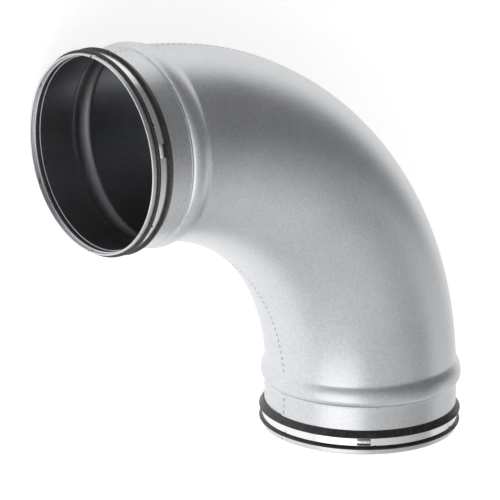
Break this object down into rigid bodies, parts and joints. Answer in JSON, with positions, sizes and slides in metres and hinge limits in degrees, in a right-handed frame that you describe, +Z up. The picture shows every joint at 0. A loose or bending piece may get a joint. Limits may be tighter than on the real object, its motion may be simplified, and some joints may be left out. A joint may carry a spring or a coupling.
{
  "type": "pressed duct bend",
  "caption": "Right-angle round ventilation duct bend of pressed galvanised half shells, with stop beads and rubber-sealed spigots held by steel bands.",
  "frame": {"origin": "centre of end A on its axis, at the stop bead, where the joined duct's edge comes to rest", "axes": "end A points along -Y, end B along -X, and +Z is up from the floor that the bend lies on, square to the plane of the bend"},
  "size_m": [0.361, 0.361, 0.1644],
  "materials": {
    "galvanised_sheet": "galvanised sheet with a fine zinc grain and a soft gloss",
    "seal_rubber": "smooth extruded black rubber",
    "band_steel": "bright rolled steel strip"
  },
  "bodies": {
    "root": {"near_half_shell": "galvanised_sheet", "far_half_shell": "galvanised_sheet", "seal_a": "seal_rubber", "seal_b": "seal_rubber", "clamping_band_a": "band_steel", "clamping_band_b": "band_steel"}
  },
  "joints": []
}
